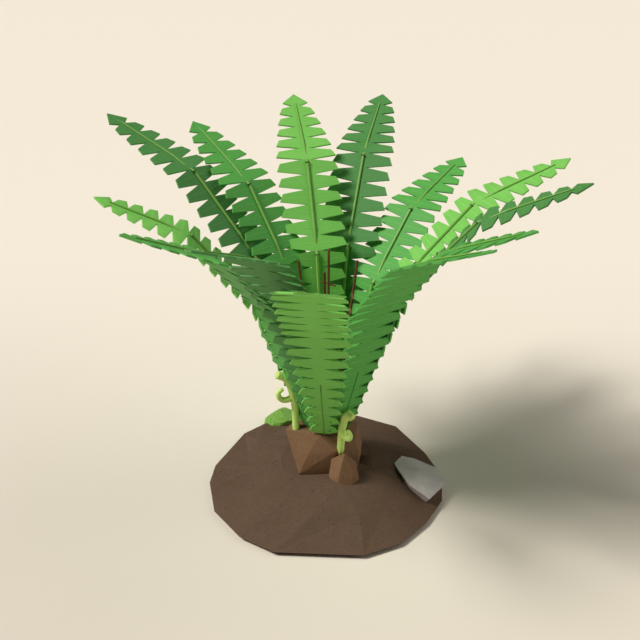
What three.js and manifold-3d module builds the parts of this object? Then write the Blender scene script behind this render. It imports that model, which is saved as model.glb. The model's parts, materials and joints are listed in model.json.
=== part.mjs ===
// Ostrich fern: a funnel of thirteen fronds on a brown crown, in a low mound of soil.
// Millimetres, +Z up. The origin is on the floor under the middle of the mound.
// Azimuth is measured from +X towards +Y; the front of the plant faces -Y.
import * as THREE from 'three';
import { ConvexGeometry } from 'three/addons/geometries/ConvexGeometry.js';
import { mergeVertices } from 'three/addons/utils/BufferGeometryUtils.js';
import Module from 'manifold-3d';

const wasm = await Module();
wasm.setup();

// Driving dimensions of the mound
const MOUND_RADIUS = 380;
const RIM_HEIGHT = 14;
const MOUND_TOP = 106;
const FOOT_SHRINK = 0.955;

// Driving dimensions of a frond of size 1
const AIM_RADIUS = 31;
const AIM_HEIGHT = 209;
const LOWER_BEND = [213, 495];
const UPPER_BEND = [394.5, 718.5];
const TIP = [659.5, 848];
const BLADE_THICKNESS = 5.2;
const BLADE_START = 236;
const FULL_HALF_WIDTH = 99;
const FOOT_HALF_WIDTH = 44;
const NOTCH_HALF_WIDTH = 15;
const LOWER_PAIRS = 10;
const MIDDLE_PAIRS = 6;
const TIP_PAIRS = 5;
const TIP_LEAF_SHARE = 0.19;
const LEAFLET_LOW_CORNER = 0.27;
const LEAFLET_HIGH_CORNER = 0.78;
const LEAFLET_SLANT = 11;
const LEAFLET_SLANT_LIMIT = 0.4;
const LEAST_LEAFLET = 6;
const STUB_RISE = 0.3;
const TIP_LEAF = { foot: 0.8, shoulder: 0.27, shoulderWidth: 0.75 };
const TIP_ROUNDING = 0.44;
const TIP_WIDTH_LIMIT = 0.97;

// How far the leaflets keep from their neighbours' blades, rachises and from the croziers
const NEIGHBOUR_TURN = 100;
const HEIGHT_STEPS = 8;
const HEIGHT_MARGIN = 6;
const WIDTH_MARGIN = 3;
const RACHIS_ZONE = 8;
const RACHIS_CLEARANCE = 10;
const BLADE_CLEARANCE = 0.5;
const LEAFLET_GAP = 1;
const CROZIER_GAP = 5;

// Neighbouring fronds stand one outside the other at their roots, by a frond's `foot` shift. Of its
// `outward` shift it has all at the lower bend, a share at the upper bend and none at the tip
const ROOT_HEIGHT = 188;
const ROOT_RADIUS = 57;
const UPPER_SHIFT_SHARE = 0.63;

// Driving dimensions of the rachis, the rib of a frond
const RACHIS_HALF = { root: 5, lowerBend: 4.6, upperBend: 3.9, tip: 1.9 };
const RACHIS_STEP = 0.86;
const RACHIS_STEP_LENGTH = 2.5;
const RACHIS_END_SHARE = 0.84;
const RACHIS_DEPTH = 1.74;
const RACHIS_TOP_SHARE = 0.5;
const RACHIS_WIDEST_AT = 0.35;
const RACHIS_RIDGE = 0.6;
const KEEL_SHARE = 0.42;
const SLOT_HALF_WIDTH = 5.1;
const SLOT_SHARE = 0.54;
const GAP = 0.3;

// Each frond: azimuth and outward lean in degrees, size, and in millimetres its shift at the lower
// bend (outward) and at the root (foot), both away from the middle
const FRONDS = [
  { azimuth: 14.7, size: 1.01, lean: 3.4, outward: -33, foot: -24, colour: 'light' },
  { azimuth: 47.4, size: 0.9, lean: 2.7, outward: -25, foot: 3, colour: 'mid' },
  { azimuth: 75.5, size: 1.078, lean: 2.5, outward: -15, foot: 16, colour: 'dark' },
  { azimuth: 99.7, size: 1.03, lean: -2.5, outward: -28, foot: -18, colour: 'light' },
  { azimuth: 133, size: 0.977, lean: -2.8, outward: -26, foot: -7, colour: 'mid' },
  { azimuth: 151.3, size: 1.094, lean: 1.8, outward: -24, foot: 7, colour: 'dark' },
  { azimuth: 181, size: 0.918, lean: 1.6, outward: -18, foot: -22, colour: 'light' },
  { azimuth: 220.4, size: 0.95, lean: 0.2, outward: -8, foot: -2, colour: 'mid' },
  { azimuth: 247, size: 1.05, lean: 2, outward: -15, foot: -12, colour: 'dark' },
  { azimuth: 263, size: 0.92, lean: 2.2, outward: 19, foot: 2, colour: 'light' },
  { azimuth: 300.5, size: 1, lean: 1.3, outward: -5, foot: 1, colour: 'mid' },
  { azimuth: 319, size: 0.957, lean: -0.2, outward: -24, foot: -20, colour: 'mid' },
  { azimuth: 345, size: 1.018, lean: 0.7, outward: -16, foot: 3, colour: 'dark' },
];

// Driving dimensions of the fertile fronds, four brown sticks in the middle
const FERTILE_AZIMUTHS = [0, 88, 180, 263];
const FERTILE_FOOT = { radius: 20, height: 190 };
const FERTILE_TIP = { radius: 86, height: 775 };
const FERTILE_HALF = { foot: 5.2, tip: 4.3 };
const PINNA_PAIRS = 4;
const PINNA_FIRST = 107;
const PINNA_STEP = 48;
const PINNA_REACH = 24;
const PINNA_RISE = 7;
const PINNA_HALF = 3.3;

const MATERIALS = {
  light: new THREE.MeshStandardMaterial({ color: 0x6fb14c, roughness: 0.75, metalness: 0 }),
  mid: new THREE.MeshStandardMaterial({ color: 0x569a45, roughness: 0.75, metalness: 0 }),
  dark: new THREE.MeshStandardMaterial({ color: 0x417d42, roughness: 0.75, metalness: 0 }),
  rachis: new THREE.MeshStandardMaterial({ color: 0x86a046, roughness: 0.7, metalness: 0 }),
  crozier: new THREE.MeshStandardMaterial({ color: 0x9cc75a, roughness: 0.65, metalness: 0 }),
  fertile: new THREE.MeshStandardMaterial({ color: 0x5d3527, roughness: 0.85, metalness: 0 }),
  crown: new THREE.MeshStandardMaterial({ color: 0x7a583c, roughness: 0.95, metalness: 0 }),
  soil: new THREE.MeshStandardMaterial({ color: 0x5e4a3b, roughness: 1, metalness: 0 }),
  stone: new THREE.MeshStandardMaterial({ color: 0x85847a, roughness: 0.9, metalness: 0 }),
  moss: new THREE.MeshStandardMaterial({ color: 0x72a544, roughness: 1, metalness: 0 }),
};

const fern = new THREE.Group();

function addPiece(name, geometry, material) {
  const mesh = new THREE.Mesh(geometry, material);
  mesh.name = name;
  fern.add(mesh);
}

const radians = (degrees) => (degrees * Math.PI) / 180;
const mix = (a, b, share) => a + (b - a) * share;

// Solids for cutting and joining

function toSolid(geometry) {
  const bare = geometry.clone();
  bare.deleteAttribute('normal');
  bare.deleteAttribute('uv');
  const merged = mergeVertices(bare, 1e-3);
  return new wasm.Manifold(new wasm.Mesh({
    numProp: 3,
    vertProperties: new Float32Array(merged.attributes.position.array),
    triVerts: new Uint32Array(merged.index.array),
  }));
}

function toGeometry(solid) {
  const mesh = solid.getMesh();
  const geometry = new THREE.BufferGeometry();
  geometry.setAttribute('position', new THREE.BufferAttribute(new Float32Array(mesh.vertProperties), 3));
  geometry.setIndex(new THREE.BufferAttribute(new Uint32Array(mesh.triVerts), 1));
  geometry.computeVertexNormals();
  return geometry;
}

// A loose scrap left by a cut is dropped: the largest body stays
function largestBody(solid) {
  const bodies = solid.decompose();
  bodies.sort((a, b) => b.volume() - a.volume());
  return bodies[0];
}

function meshGeometry(points, triangles) {
  const geometry = new THREE.BufferGeometry();
  const flat = points.flatMap((p) => [p.x, p.y, p.z]);
  geometry.setAttribute('position', new THREE.Float32BufferAttribute(flat, 3));
  geometry.setIndex(triangles);
  geometry.computeVertexNormals();
  return geometry;
}

// A rod through rings of points, each ring turning the same way, closed by a cap at both ends
function ringSolid(rings) {
  const count = rings[0].length;
  const triangles = [];
  for (let i = 0; i + 1 < rings.length; i += 1) {
    for (let k = 0; k < count; k += 1) {
      const a = i * count + k;
      const b = i * count + ((k + 1) % count);
      triangles.push(a, b, b + count, a, b + count, a + count);
    }
  }
  const last = (rings.length - 1) * count;
  for (let k = 1; k + 1 < count; k += 1) {
    triangles.push(0, k + 1, k, last, last + k, last + k + 1);
  }
  return meshGeometry(rings.flat(), triangles);
}

// A round rod along a path in the upright plane that holds the direction `out`
function rodInPlane(foot, out, path, sides, grow) {
  const side = new THREE.Vector3(-out.y, out.x, 0);
  const place = (p) => foot.clone().addScaledVector(out, p.out).add(new THREE.Vector3(0, 0, p.up));
  const rings = path.map((p, i) => {
    const before = place(path[Math.max(i - 1, 0)]);
    const after = place(path[Math.min(i + 1, path.length - 1)]);
    const along = after.sub(before).normalize();
    const across = new THREE.Vector3().crossVectors(along, side);
    const centre = place(p);
    const ring = [];
    for (let k = 0; k < sides; k += 1) {
      const angle = (2 * Math.PI * k) / sides;
      const reach = p.half + grow;
      const point = centre.clone();
      point.addScaledVector(side, reach * Math.cos(angle));
      point.addScaledVector(across, reach * Math.sin(angle));
      ring.push(point);
    }
    return ring;
  });
  return ringSolid(rings);
}

const direction = (azimuth) => new THREE.Vector3(Math.cos(radians(azimuth)), Math.sin(radians(azimuth)), 0);

// Croziers: a stem that bends over at its cut end, and a coil that grows from its inner side

const CROZIERS = {
  crozier_left: {
    foot: new THREE.Vector3(-98, -42, 190),
    azimuth: 196,
    stem: [[0, 0], [0, 60], [2, 118], [7, 155], [16, 196], [31, 224], [56, 238]],
    stemHalf: [9.5, 10.5],
    coilCentre: [35, 172],
    coilAngles: [230, 430],
    coilRadii: [29, 13],
  },
  crozier_right: {
    foot: new THREE.Vector3(31, -82, 150),
    azimuth: 310,
    stem: [[0, 0], [14, 34], [17, 70], [20, 110], [27, 144], [36, 167], [48, 177], [64, 170]],
    stemHalf: [10.5, 10.5],
    coilCentre: [45, 106],
    coilAngles: [195, 450],
    coilRadii: [21, 10],
  },
};
const COIL_HALF = [9, 4.5];
const COIL_STEPS = 9;

function crozierStem(c, grow = 0) {
  const last = c.stem.length - 1;
  const path = c.stem.map(([across, up], i) => (
    { out: across, up, half: mix(c.stemHalf[0], c.stemHalf[1], i / last) }));
  return rodInPlane(c.foot, direction(c.azimuth), path, 8, grow);
}

function coilPath(c) {
  const path = [];
  for (let i = 0; i <= COIL_STEPS; i += 1) {
    const share = i / COIL_STEPS;
    const angle = radians(mix(c.coilAngles[0], c.coilAngles[1], share));
    const radius = mix(c.coilRadii[0], c.coilRadii[1], share);
    path.push({
      out: c.coilCentre[0] + radius * Math.cos(angle),
      up: c.coilCentre[1] + radius * Math.sin(angle),
      half: mix(COIL_HALF[0], COIL_HALF[1], share),
    });
  }
  return path;
}

function crozierSolid(c) {
  const coil = rodInPlane(c.foot, direction(c.azimuth), coilPath(c), 7, 0);
  return toSolid(crozierStem(c)).add(toSolid(coil));
}

// Balls along each crozier, which the leaflets keep clear of
const CROZIER_BALLS = Object.values(CROZIERS).flatMap((c) => {
  const out = direction(c.azimuth);
  const last = c.stem.length - 1;
  const stem = c.stem.slice(0, last).flatMap(([across, up], i) => {
    const [nextAcross, nextUp] = c.stem[i + 1];
    return [0, 0.25, 0.5, 0.75, 1].map((share) => (
      { out: mix(across, nextAcross, share), up: mix(up, nextUp, share), half: c.stemHalf[1] }));
  });
  return [...stem, ...coilPath(c)].map((p) => ({
    place: c.foot.clone().addScaledVector(out, p.out).add(new THREE.Vector3(0, 0, p.up)),
    half: p.half,
  }));
});

// Frond: its line in the upright plane, as corners [radius, height]

function frondLine(frond) {
  const turn = radians(frond.lean);
  const corner = ([across, up], shiftShare) => [
    AIM_RADIUS + frond.size * (Math.cos(turn) * across + Math.sin(turn) * up) + frond.outward * shiftShare,
    AIM_HEIGHT + frond.size * (Math.cos(turn) * up - Math.sin(turn) * across),
  ];
  const root = [ROOT_RADIUS + frond.foot, ROOT_HEIGHT];
  const lower = corner(LOWER_BEND, 1);
  const upper = corner(UPPER_BEND, UPPER_SHIFT_SHARE);
  const tip = corner(TIP, 0);
  const share = (BLADE_START - ROOT_HEIGHT) / (lower[1] - ROOT_HEIGHT);
  const start = [mix(root[0], lower[0], share), BLADE_START];
  return { root, start, lower, upper, tip };
}

const LINES = FRONDS.map(frondLine);

function radiusAtHeight(line, height) {
  const corners = [line.root, line.lower, line.upper, line.tip];
  for (let i = 0; i < 3; i += 1) {
    const [a, b] = [corners[i], corners[i + 1]];
    if (height <= b[1] || i === 2) {
      return mix(a[0], b[0], (height - a[1]) / (b[1] - a[1]));
    }
  }
  return 0;
}

// A depth square to a blade's face, measured level: it grows where the blade lies flatter
function levelDepth(line, height, depth) {
  const corners = [line.root, line.lower, line.upper, line.tip];
  const at = Math.max(0, corners.findLastIndex((corner) => corner[1] < height));
  const [a, b] = at < 3 ? [corners[at], corners[at + 1]] : [corners[2], corners[3]];
  return (depth * Math.hypot(b[0] - a[0], b[1] - a[1])) / (b[1] - a[1]) + BLADE_CLEARANCE;
}

function tipHalfWidth(fromTip) {
  return FULL_HALF_WIDTH * Math.min(TIP_WIDTH_LIMIT, fromTip ** TIP_ROUNDING);
}

function nominalHalfWidth(line, height) {
  if (height > line.tip[1] || height < line.start[1] - 5) {
    return 0;
  }
  if (height < line.lower[1]) {
    const share = (height - line.start[1]) / (line.lower[1] - line.start[1]);
    return mix(FOOT_HALF_WIDTH, FULL_HALF_WIDTH, share);
  }
  if (height < line.upper[1]) {
    return FULL_HALF_WIDTH;
  }
  return tipHalfWidth((line.tip[1] - height) / (line.tip[1] - line.upper[1]));
}

// Where two blades would cross, the leaflets of the one that reaches further are cut short of it
function clearHalfWidth(index, sideSign, lowHeight, highHeight, wanted) {
  const line = LINES[index];
  let allowed = wanted;
  FRONDS.forEach((other, otherIndex) => {
    const turn = ((sideSign * (other.azimuth - FRONDS[index].azimuth)) % 360 + 360) % 360;
    if (otherIndex === index || turn > NEIGHBOUR_TURN) {
      return;
    }
    const angle = radians(turn);
    for (let step = 0; step <= HEIGHT_STEPS; step += 1) {
      const height = mix(lowHeight - HEIGHT_MARGIN, highHeight + HEIGHT_MARGIN, step / HEIGHT_STEPS);
      const own = radiusAtHeight(line, height);
      const theirs = radiusAtHeight(LINES[otherIndex], height);
      const ownReach = (theirs - own * Math.cos(angle)) / Math.sin(angle);
      const theirReach = (own - theirs * Math.cos(angle)) / Math.sin(angle);
      const theirWidth = nominalHalfWidth(LINES[otherIndex], height);
      const overRachis = levelDepth(LINES[otherIndex], height, RACHIS_CLEARANCE) / Math.tan(angle);
      const nearRachis = Math.abs(theirReach) < RACHIS_ZONE + Math.max(0, overRachis);
      const ownHalf = levelDepth(line, height, BLADE_THICKNESS / 2);
      const theirDepth = nearRachis ? RACHIS_CLEARANCE : BLADE_THICKNESS / 2;
      const theirHalf = levelDepth(LINES[otherIndex], height, theirDepth);
      const margin = (ownHalf + theirHalf * Math.cos(angle) + LEAFLET_GAP) / Math.sin(angle);
      const inWidth = theirWidth > 0 && Math.abs(theirReach) < theirWidth + WIDTH_MARGIN;
      const meets = inWidth && ownReach < allowed + margin;
      if (meets && ownReach >= Math.abs(theirReach)) {
        allowed = Math.min(allowed, ownReach - margin);
      }
    }
  });
  const out = direction(FRONDS[index].azimuth);
  CROZIER_BALLS.forEach(({ place, half }) => {
    const reach = sideSign * (out.x * place.y - out.y * place.x);
    const aside = out.x * place.x + out.y * place.y - radiusAtHeight(line, place.z);
    const sameHeight = place.z > lowHeight - half && place.z < highHeight + half;
    if (sameHeight && Math.abs(aside) < half + CROZIER_GAP && reach > 0) {
      allowed = Math.min(allowed, reach - half - CROZIER_GAP);
    }
  });
  return allowed;
}

// Half outline of one stretch: corner points [out, along] of its leaflets, from low to high
function leafletCorners(index, sideSign, stretch) {
  const { from, length, pairs, halfWidth, heightAt } = stretch;
  const corners = [];
  for (let k = 0; k < pairs; k += 1) {
    const low = from + (length * k) / pairs;
    const high = from + (length * (k + 1)) / pairs;
    const lowCorner = mix(low, high, LEAFLET_LOW_CORNER);
    const highCorner = mix(low, high, LEAFLET_HIGH_CORNER);
    const wanted = halfWidth(lowCorner);
    const reach = clearHalfWidth(index, sideSign, heightAt(low), heightAt(high), wanted);
    if (k > 0 || !stretch.startsAtBend) {
      corners.push([NOTCH_HALF_WIDTH, low]);
    }
    if (reach > NOTCH_HALF_WIDTH + LEAST_LEAFLET) {
      const slant = Math.min(LEAFLET_SLANT, (reach - NOTCH_HALF_WIDTH) * LEAFLET_SLANT_LIMIT);
      corners.push([reach, lowCorner], [reach - slant, highCorner]);
    } else {
      corners.push([NOTCH_HALF_WIDTH + STUB_RISE, lowCorner], [NOTCH_HALF_WIDTH + STUB_RISE, highCorner]);
    }
  }
  return corners;
}

// Blade: flat stretches joined at the two bends, with the same triangles on both faces
function bladeGeometry(index) {
  const line = LINES[index];
  const corners = [line.start, line.lower, line.upper, line.tip].map(([x, y]) => new THREE.Vector2(x, y));
  const lengths = [0, 1, 2].map((i) => corners[i].distanceTo(corners[i + 1]));
  const tangents = [0, 1, 2].map((i) => corners[i + 1].clone().sub(corners[i]).normalize());
  const normals = tangents.map((t) => new THREE.Vector2(-t.y, t.x));
  const out = direction(FRONDS[index].azimuth);
  const side = new THREE.Vector3(-out.y, out.x, 0);
  const pointAt = (piece, across, along, lift) => {
    const flat = corners[piece].clone().addScaledVector(tangents[piece], along);
    let push = normals[piece].clone();
    const bend = along < 1e-6 ? piece - 1 : piece;
    if (along < 1e-6 ? piece > 0 : along > lengths[piece] - 1e-6 && piece < 2) {
      push = normals[bend].clone().add(normals[bend + 1]).normalize();
      push.divideScalar(push.dot(normals[piece]));
    }
    flat.addScaledVector(push, lift);
    return out.clone().multiplyScalar(flat.x).addScaledVector(side, across).setZ(flat.y);
  };
  const tipLength = lengths[2] * (1 - TIP_LEAF_SHARE);
  const heightAt = (piece) => (along) => corners[piece].y + tangents[piece].y * along;
  const widthAt = [
    (along) => mix(FOOT_HALF_WIDTH, FULL_HALF_WIDTH, along / lengths[0]),
    () => FULL_HALF_WIDTH,
    (along) => tipHalfWidth(1 - along / lengths[2]),
  ];
  const stretches = [
    { from: 0, length: lengths[0], pairs: LOWER_PAIRS, startsAtBend: false },
    { from: 0, length: lengths[1], pairs: MIDDLE_PAIRS, startsAtBend: true },
    { from: 0, length: tipLength, pairs: TIP_PAIRS, startsAtBend: true },
  ];
  const slotEnd = lengths[0] * SLOT_SHARE;
  const points = [];
  const triangles = [];
  const seen = new Map();
  const vertex = (piece, across, along, lift) => {
    const p = pointAt(piece, across, along, lift);
    const key = p.toArray().map((v) => Math.round(v * 100)).join(' ');
    if (!seen.has(key)) {
      seen.set(key, points.length);
      points.push(p);
    }
    return seen.get(key);
  };
  stretches.forEach((stretch, piece) => {
    const full = { ...stretch, halfWidth: widthAt[piece], heightAt: heightAt(piece) };
    const left = leafletCorners(index, 1, full);
    const right = leafletCorners(index, -1, full).map(([across, along]) => [-across, along]);
    const bend = NOTCH_HALF_WIDTH;
    const foot = bend * TIP_LEAF.foot;
    const wide = tipHalfWidth(TIP_LEAF_SHARE * TIP_LEAF.shoulderWidth);
    const wideAt = mix(tipLength, lengths[2], TIP_LEAF.shoulder);
    const kite = [[foot, tipLength], [wide, wideAt], [0, lengths[2]], [-wide, wideAt], [-foot, tipLength]];
    const top = piece < 2 ? [[bend, lengths[piece]], [-bend, lengths[piece]]] : kite;
    const slotSide = SLOT_HALF_WIDTH;
    const slot = [[-slotSide, 0], [-slotSide, slotEnd], [slotSide, slotEnd], [slotSide, 0]];
    const bottom = piece === 0 ? slot : [[-bend, 0], [bend, 0]];
    const outline = [...left, ...top, ...right.reverse(), ...bottom];
    const contour = outline.map(([x, y]) => new THREE.Vector2(x, y));
    const faces = THREE.ShapeUtils.triangulateShape(contour, []);
    const inner = outline.map(([across, along]) => vertex(piece, across, along, BLADE_THICKNESS / 2));
    const outer = outline.map(([across, along]) => vertex(piece, across, along, -BLADE_THICKNESS / 2));
    const turn = THREE.ShapeUtils.isClockWise(contour) ? -1 : 1;
    faces.forEach(([a, b, c]) => {
      const area = (contour[b].x - contour[a].x) * (contour[c].y - contour[a].y)
        - (contour[c].x - contour[a].x) * (contour[b].y - contour[a].y);
      const [p, q] = area > 0 ? [c, b] : [b, c];
      triangles.push(inner[a], inner[p], inner[q], outer[a], outer[q], outer[p]);
    });
    outline.forEach(([, along], k) => {
      const next = (k + 1) % outline.length;
      const nextAlong = outline[next][1];
      const onLowBend = piece > 0 && along < 1e-6 && nextAlong < 1e-6;
      const onHighBend = piece < 2 && along > lengths[piece] - 1e-6 && nextAlong > lengths[piece] - 1e-6;
      if (onLowBend || onHighBend) {
        return;
      }
      const [a, b] = turn > 0 ? [next, k] : [k, next];
      triangles.push(outer[a], outer[b], inner[b], outer[a], inner[b], inner[a]);
    });
  });
  return meshGeometry(points, triangles);
}

// Rachis: a six-sided rib that starts in the crown, passes through the slot in the blade's foot
// and then lies on the blade's inner face, with a small step at each bend
function rachisGeometry(index, grow = 0) {
  const line = LINES[index];
  const corners = [line.root, line.lower, line.upper, line.tip].map(([x, y]) => new THREE.Vector2(x, y));
  const lengths = [0, 1, 2].map((i) => corners[i].distanceTo(corners[i + 1]));
  const tangents = [0, 1, 2].map((i) => corners[i + 1].clone().sub(corners[i]).normalize());
  const normals = tangents.map((t) => new THREE.Vector2(-t.y, t.x));
  const out = direction(FRONDS[index].azimuth);
  const side = new THREE.Vector3(-out.y, out.x, 0);
  const face = BLADE_THICKNESS / 2 + GAP;
  const bladeStart = (line.start[1] - line.root[1]) / tangents[0].y;
  const slotTop = mix(bladeStart, lengths[0], SLOT_SHARE);
  const share = slotTop / lengths[0];
  const half = RACHIS_HALF;
  const slotHalfWidth = mix(half.root, half.lowerBend, share);
  const stations = [
    { piece: 0, along: 0, half: half.root, low: -half.root * RACHIS_DEPTH / 2 },
    { piece: 0, along: slotTop - 2, half: slotHalfWidth, low: face },
    { piece: 0, along: lengths[0], half: half.lowerBend, low: face },
    { piece: 1, along: RACHIS_STEP_LENGTH, half: half.lowerBend * RACHIS_STEP, low: face },
    { piece: 1, along: lengths[1], half: half.upperBend, low: face },
    { piece: 2, along: RACHIS_STEP_LENGTH, half: half.upperBend * RACHIS_STEP, low: face },
    { piece: 2, along: lengths[2] * RACHIS_END_SHARE, half: half.tip, low: face },
  ];
  const rings = stations.map((s) => {
    const flat = corners[s.piece].clone().addScaledVector(tangents[s.piece], s.along);
    let push = normals[s.piece].clone();
    if (s.piece < 2 && s.along === lengths[s.piece]) {
      push = push.add(normals[s.piece + 1]).normalize();
      push.divideScalar(push.dot(normals[s.piece]));
    }
    const low = s.low - grow;
    const high = s.low + s.half * RACHIS_DEPTH + grow;
    const widest = Math.max(s.low + s.half * RACHIS_DEPTH * RACHIS_WIDEST_AT, face + 2);
    const middle = Math.min(widest, s.low + s.half * RACHIS_DEPTH - RACHIS_RIDGE);
    const reach = s.half + grow;
    const top = reach * RACHIS_TOP_SHARE;
    const keel = reach * KEEL_SHARE;
    const section = [[reach, middle], [top, high], [-top, high], [-reach, middle], [-keel, low], [keel, low]];
    return section.map(([across, lift]) => {
      const p = flat.clone().addScaledVector(push, lift);
      return out.clone().multiplyScalar(p.x).addScaledVector(side, across).setZ(p.y);
    });
  });
  return ringSolid(rings);
}

FRONDS.forEach((frond, index) => {
  const number = String(index + 1).padStart(2, '0');
  addPiece(`frond_${number}_blade`, bladeGeometry(index), MATERIALS[frond.colour]);
  addPiece(`frond_${number}_rachis`, rachisGeometry(index), MATERIALS.rachis);
});

// Fertile fronds: straight stalks that lean out, with short bead-like pinnae in pairs

function fertileStalk(azimuth, grow = 0) {
  const out = direction(azimuth);
  const foot = out.clone().multiplyScalar(FERTILE_FOOT.radius).setZ(FERTILE_FOOT.height);
  const path = [
    { out: 0, up: 0, half: FERTILE_HALF.foot },
    {
      out: FERTILE_TIP.radius - FERTILE_FOOT.radius,
      up: FERTILE_TIP.height - FERTILE_FOOT.height,
      half: FERTILE_HALF.tip,
    },
  ];
  return rodInPlane(foot, out, path, 6, grow);
}

function fertileFrond(azimuth) {
  const out = direction(azimuth);
  const side = new THREE.Vector3(-out.y, out.x, 0);
  const foot = out.clone().multiplyScalar(FERTILE_FOOT.radius).setZ(FERTILE_FOOT.height);
  const tip = out.clone().multiplyScalar(FERTILE_TIP.radius).setZ(FERTILE_TIP.height);
  const along = tip.clone().sub(foot).normalize();
  let solid = toSolid(fertileStalk(azimuth));
  for (let k = 0; k < PINNA_PAIRS; k += 1) {
    const centre = tip.clone().addScaledVector(along, -(PINNA_FIRST + PINNA_STEP * k));
    const rings = [-1, 1].map((end) => {
      const place = centre.clone();
      place.addScaledVector(side, end * PINNA_REACH).addScaledVector(along, end * PINNA_RISE);
      return [0, 1, 2, 3].map((corner) => {
        const angle = Math.PI / 4 + (Math.PI / 2) * corner;
        const point = place.clone();
        point.addScaledVector(along, PINNA_HALF * Math.cos(angle));
        point.addScaledVector(out, PINNA_HALF * Math.sin(angle));
        return point;
      });
    });
    solid = solid.add(toSolid(ringSolid(rings)));
  }
  return solid;
}

FERTILE_AZIMUTHS.forEach((azimuth, index) => {
  addPiece(`fertile_frond_${index + 1}`, toGeometry(fertileFrond(azimuth)), MATERIALS.fertile);
});

Object.entries(CROZIERS).forEach(([name, crozier]) => {
  addPiece(name, toGeometry(crozierSolid(crozier)), MATERIALS.crozier);
});

// Lumps are the hull of a few corners; `grow` moves each corner away from the middle

function lump(corners, grow = 0) {
  const points = corners.map((c) => new THREE.Vector3(...c));
  const middle = new THREE.Vector3();
  points.forEach((p) => middle.addScaledVector(p, 1 / points.length));
  const moved = points.map((p) => {
    const away = p.clone().sub(middle);
    return middle.clone().addScaledVector(away, 1 + grow / away.length());
  });
  return new ConvexGeometry(moved);
}

const CROWN = [
  [-129, -46, 227], [-84, 72, 214], [-28, 104, 216], [52, 92, 214], [97, 26, 206],
  [86, -60, 196], [-23, -86, 231], [-60, -100, 168], [25, -105, 186], [103, -60, 134],
  [112, 20, 142], [70, 95, 136], [0, 118, 140], [-75, 95, 142], [-122, 30, 140],
  [-88, -106, 104], [0, -100, 84], [88, -66, 72], [104, 10, 70], [62, 80, 70],
  [-10, 98, 70], [-78, 76, 70], [-104, 6, 70], [-74, -88, 70], [0, -84, 70],
  [0, 30, 232], [-60, 10, 231], [50, 10, 230], [-91, -14, 236],
];
const SIDE_CROWN = [
  [52, -122, 188], [12, -104, 158], [88, -104, 146], [38, -142, 134], [80, -134, 132],
  [4, -120, 108], [14, -140, 84], [30, -152, 80], [72, -152, 78], [100, -118, 84],
  [96, -84, 84], [10, -84, 84], [52, -84, 168], [30, -80, 70], [84, -80, 70], [50, -140, 66],
];
const STONE = [
  [214, -10, 78], [225, -52, 80], [255, -118, 70], [303, -158, 57], [314, -164, 50],
  [380, -60, 42], [352, 8, 50], [281, 38, 66], [244, 42, 73], [290, -50, 74],
  [226, -18, 44], [262, -104, 34], [306, -146, 22], [362, -62, 14], [342, -6, 22], [252, 30, 40],
];
const MOSS = [
  [-168, 348, 66], [-122, 368, 46], [-195, 352, 34], [-224, 352, 0], [-222, 392, 0],
  [-192, 384, 18], [-150, 412, 34], [-92, 372, 30], [-84, 392, 0], [-150, 432, 0],
  [-90, 330, 0], [-100, 322, 34], [-190, 300, 30], [-200, 290, 0], [-140, 300, 46],
];

// Mound: rings of a low dome with seeded unevenness, on a rim that is undercut

function seededRandom(seed) {
  let state = seed;
  return () => {
    state = (Math.imul(state, 1664525) + 1013904223) >>> 0;
    return state / 4294967296;
  };
}

const RIM = [
  [2, 0.985], [24, 0.955], [52, 1.05], [74, 1.06], [108, 0.96], [123, 1.05], [137, 1.035], [169, 0.99],
  [184, 1.0], [207, 1.03], [229, 1.05], [247, 1.06], [285, 1.05], [303, 1.04], [322, 1.0], [341, 1.0],
];

function moundGeometry() {
  const random = seededRandom(11);
  const count = RIM.length;
  const ring = (share, height, uneven, turn) => RIM.map(([azimuth, stretch]) => {
    const radius = MOUND_RADIUS * share * mix(1, stretch, share) * (1 + uneven * 0.004 * (random() - 0.5));
    const angle = azimuth + turn + uneven * 0.5 * (random() - 0.5);
    return direction(angle).multiplyScalar(radius).setZ(height + uneven * (random() - 0.5));
  });
  const rings = [
    ring(FOOT_SHRINK, 0, 0, 0),
    ring(1, RIM_HEIGHT, 0, 0),
    ring(0.69, mix(RIM_HEIGHT, MOUND_TOP, 0.5), 20, 9),
    ring(0.4, mix(RIM_HEIGHT, MOUND_TOP, 0.86), 14, 2),
  ];
  const points = rings.flat();
  const triangles = [];
  for (let i = 0; i + 1 < rings.length; i += 1) {
    for (let k = 0; k < count; k += 1) {
      const a = i * count + k;
      const b = i * count + ((k + 1) % count);
      triangles.push(a, b, b + count, a, b + count, a + count);
    }
  }
  const bottom = points.push(new THREE.Vector3(0, 0, 0)) - 1;
  const top = points.push(new THREE.Vector3(0, 0, MOUND_TOP)) - 1;
  const last = (rings.length - 1) * count;
  for (let k = 0; k < count; k += 1) {
    const next = (k + 1) % count;
    triangles.push(bottom, next, k, top, last + k, last + next);
  }
  return meshGeometry(points, triangles);
}

// Crown with a plain hole for every stalk that stands in it

let crown = toSolid(lump(CROWN));
FRONDS.forEach((frond, index) => {
  crown = crown.subtract(toSolid(rachisGeometry(index, GAP)));
});
FERTILE_AZIMUTHS.forEach((azimuth) => {
  crown = crown.subtract(toSolid(fertileStalk(azimuth, GAP)));
});
Object.values(CROZIERS).forEach((crozier) => {
  crown = crown.subtract(toSolid(crozierStem(crozier, GAP)));
});
addPiece('crown', toGeometry(largestBody(crown)), MATERIALS.crown);

// Side crown: it grows against the crown
const sideCrown = toSolid(lump(SIDE_CROWN))
  .subtract(toSolid(lump(CROWN, 2 * GAP)))
  .subtract(toSolid(crozierStem(CROZIERS.crozier_right, GAP)));
addPiece('side_crown', toGeometry(largestBody(sideCrown)), MATERIALS.crown);

addPiece('stone', lump(STONE), MATERIALS.stone);
addPiece('moss_cushion', lump(MOSS), MATERIALS.moss);

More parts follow.
